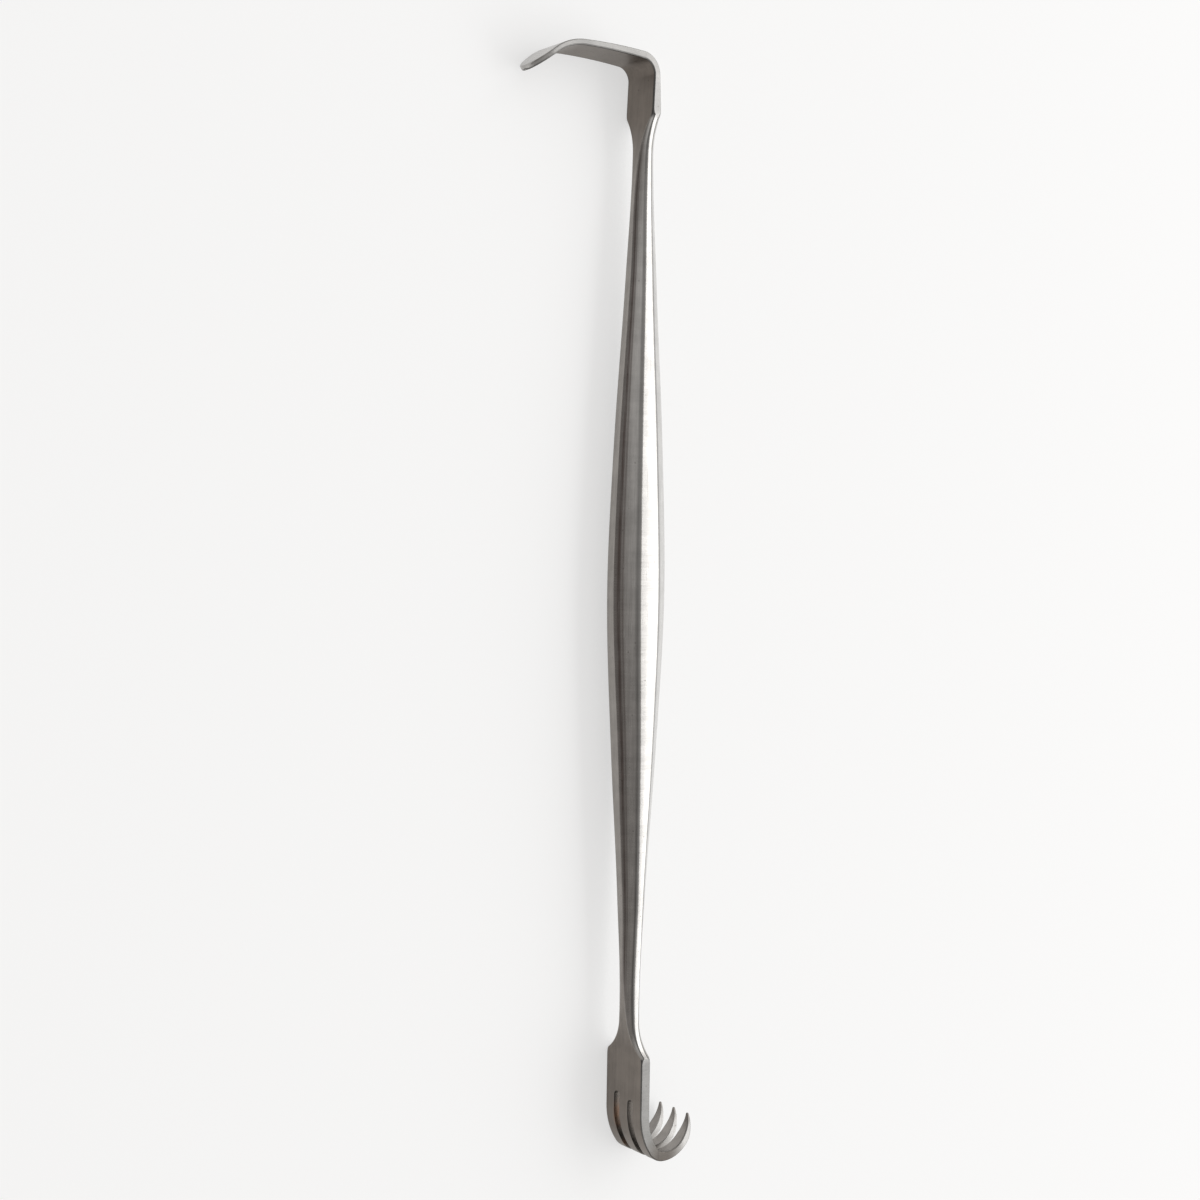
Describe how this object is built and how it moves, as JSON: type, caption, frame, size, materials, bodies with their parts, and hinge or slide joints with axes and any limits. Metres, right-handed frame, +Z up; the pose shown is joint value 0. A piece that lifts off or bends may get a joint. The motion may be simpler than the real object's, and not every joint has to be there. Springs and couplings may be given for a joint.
{
  "type": "double-ended surgical retractor",
  "caption": "One-piece steel hand retractor with a blunt right-angled blade at one end and a sharp pronged rake at the other, lying on its side.",
  "frame": {"origin": "on the surface that the retractor lies on, under the middle of its bounding box", "axes": "+Y along the handle to the blade end, +X to the side that the prongs point to, +Z up from the surface"},
  "size_m": [0.0302, 0.16, 0.0083],
  "materials": {
    "stainless_steel": "satin, ground and beadblasted, with light brown heat tint in the slots and on the inner faces"
  },
  "bodies": {
    "root": {"double_ended_retractor": "stainless_steel"}
  },
  "joints": []
}
